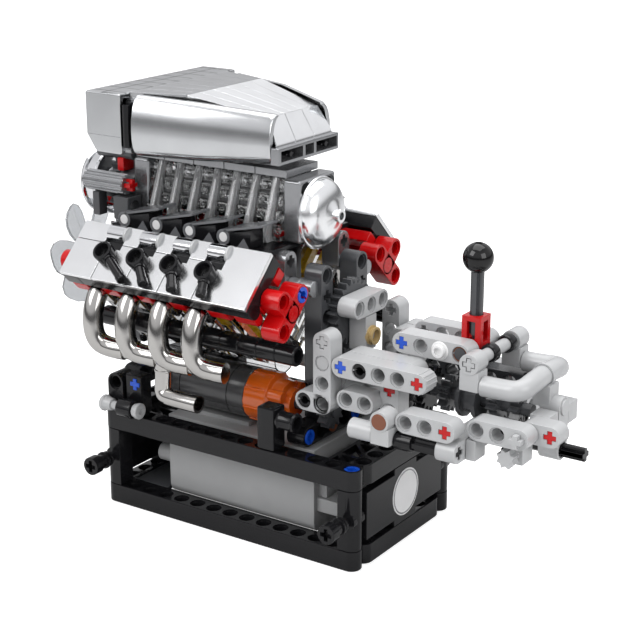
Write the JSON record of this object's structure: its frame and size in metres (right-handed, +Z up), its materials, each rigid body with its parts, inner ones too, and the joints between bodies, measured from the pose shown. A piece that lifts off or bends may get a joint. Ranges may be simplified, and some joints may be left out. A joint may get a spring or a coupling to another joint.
{
  "type": "toy construction v8 engine model",
  "caption": "Toy construction model of a supercharged V8 engine on a motorised stand, with geared fan, moving pistons and an open gearbox with a tilting lever.",
  "frame": {"origin": "middle of the stand's footprint, on the surface it stands on", "axes": "+X along the crankshaft from the fan to the output axle, +Z up, the near side with the motor is -Y"},
  "size_m": [0.2325, 0.1106, 0.1674],
  "materials": {
    "black_plastic": "gloss",
    "light_grey": "gloss",
    "dark_grey": "gloss",
    "mid_grey": "gloss",
    "red_plastic": "gloss",
    "blue_plastic": "gloss",
    "orange_plastic": "gloss",
    "yellow_plastic": "gloss",
    "clear_plastic": "clear",
    "chrome_plastic": "polished",
    "silver_plastic": "polished",
    "motor_dark": "satin",
    "box_grey": "satin"
  },
  "bodies": {
    "stand": {"stand_lower_frame": "black_plastic", "stand_upper_frame": "black_plastic", "stand_posts": "black_plastic", "stand_end_panels": "black_plastic", "battery_box": "box_grey", "stand_grille": "black_plastic", "corner_knobs": "black_plastic", "stand_pins": "blue_plastic", "motor_case": "motor_dark", "motor_nose": "orange_plastic", "crankcase": "clear_plastic", "cylinder_bank_near": "clear_plastic", "cylinder_bank_far": "clear_plastic", "side_rail_near": "dark_grey", "side_rail_far": "dark_grey", "head_brackets_near": "red_plastic", "head_brackets_far": "red_plastic", "cover_frame_near": "black_plastic", "cover_frame_far": "black_plastic", "cover_tiles_near": "chrome_plastic", "cover_tiles_far": "chrome_plastic", "ignition_taps": "black_plastic", "exhaust_near": "chrome_plastic", "exhaust_far": "chrome_plastic", "intake_manifold": "black_plastic", "intake_flaps": "dark_grey", "blower_case": "clear_plastic", "blower_frames": "mid_grey", "blower_dome": "chrome_plastic", "scoop_rear": "silver_plastic", "scoop_sides": "silver_plastic", "scoop_hood": "silver_plastic", "scoop_inlet": "black_plastic", "front_frame": "dark_grey", "rear_frame": "dark_grey", "black_mounts": "black_plastic", "gearbox_near_side": "light_grey", "gearbox_far_side": "light_grey", "gearbox_cross_beams": "light_grey", "bent_tubes": "light_grey", "gearbox_pins": "red_plastic"},
    "crank": {"crankshaft": "light_grey", "crank_gears": "dark_grey", "main_shaft": "dark_grey"},
    "motor_spindle": {"motor_shaft": "dark_grey"},
    "idler_wheel": {"upper_gear": "dark_grey"},
    "fan_wheel": {"fan": "clear_plastic"},
    "blower_rotor": {"blower_shaft": "dark_grey", "blower_pulley": "chrome_plastic"},
    "output": {"output_shaft": "black_plastic"},
    "roller": {"idler_roller": "mid_grey"},
    "small_pinion": {"pinion": "light_grey"},
    "lever": {"shift_lever": "dark_grey", "shift_block": "red_plastic"},
    "selector": {"selector_ring": "dark_grey"},
    "guide": {"guide_rollers": "black_plastic"},
    "pistons_a": {"pistons_near_outer": "yellow_plastic"},
    "pistons_b": {"pistons_near_inner": "yellow_plastic"},
    "pistons_c": {"pistons_far_outer": "yellow_plastic"},
    "pistons_d": {"pistons_far_inner": "yellow_plastic"}
  },
  "joints": [
    {"name": "crank_turn", "type": "hinge", "parent": "stand", "child": "crank", "pos_m": [0, 0, 0.064], "axis": [1, 0, 0], "continuous": true},
    {"name": "motor_turn", "type": "hinge", "parent": "stand", "child": "motor_spindle", "pos_m": [0.034, -0.013, 0.05155], "axis": [1, 0, 0], "continuous": true},
    {"name": "idler_wheel_turn", "type": "hinge", "parent": "stand", "child": "idler_wheel", "pos_m": [0.034, 0, 0.088], "axis": [1, 0, 0], "continuous": true},
    {"name": "fan_turn", "type": "hinge", "parent": "stand", "child": "fan_wheel", "pos_m": [-0.072, 0, 0.092], "axis": [1, 0, 0], "continuous": true},
    {"name": "blower_turn", "type": "hinge", "parent": "stand", "child": "blower_rotor", "pos_m": [-0.072, 0, 0.124], "axis": [1, 0, 0], "continuous": true},
    {"name": "output_turn", "type": "hinge", "parent": "stand", "child": "output", "pos_m": [0.106, 0, 0.052], "axis": [1, 0, 0], "continuous": true},
    {"name": "roller_turn", "type": "hinge", "parent": "stand", "child": "roller", "pos_m": [-0.07, -0.0175, 0.128], "axis": [1, 0, 0], "continuous": true},
    {"name": "pinion_turn", "type": "hinge", "parent": "stand", "child": "small_pinion", "pos_m": [0.1145, -0.024, 0.055], "axis": [0, 1, 0], "continuous": true},
    {"name": "guide_turn", "type": "hinge", "parent": "stand", "child": "guide", "pos_m": [0.096, 0, 0.084], "axis": [0, 1, 0], "continuous": true},
    {"name": "lever_tilt", "type": "hinge", "parent": "stand", "child": "lever", "pos_m": [0.088, 0, 0.084], "axis": [0, 1, 0], "range_deg": [-15, 15]},
    {"name": "selector_slide", "type": "slide", "parent": "crank", "child": "selector", "axis": [1, 0, 0], "range_m": [-0.0035, 0.0035]},
    {"name": "piston_a_slide", "type": "slide", "parent": "stand", "child": "pistons_a", "axis": [0, -0.7071, 0.7071], "range_m": [-0.002, 0.002]},
    {"name": "piston_b_slide", "type": "slide", "parent": "stand", "child": "pistons_b", "axis": [0, -0.7071, 0.7071], "range_m": [-0.002, 0.002]},
    {"name": "piston_c_slide", "type": "slide", "parent": "stand", "child": "pistons_c", "axis": [0, 0.7071, 0.7071], "range_m": [-0.002, 0.002]},
    {"name": "piston_d_slide", "type": "slide", "parent": "stand", "child": "pistons_d", "axis": [0, 0.7071, 0.7071], "range_m": [-0.002, 0.002]}
  ],
  "couplings": [
    {"joint": "motor_turn", "follows": "crank_turn", "ratio": -2},
    {"joint": "idler_wheel_turn", "follows": "crank_turn", "ratio": -1},
    {"joint": "fan_turn", "follows": "crank_turn", "ratio": -0.4},
    {"joint": "blower_turn", "follows": "crank_turn", "ratio": 0.66667},
    {"joint": "output_turn", "follows": "crank_turn", "ratio": -0.5},
    {"joint": "selector_slide", "follows": "lever_tilt", "m_per_rad": -0.013},
    {"joint": "piston_b_slide", "follows": "piston_a_slide", "ratio": -1},
    {"joint": "piston_d_slide", "follows": "piston_c_slide", "ratio": -1}
  ]
}
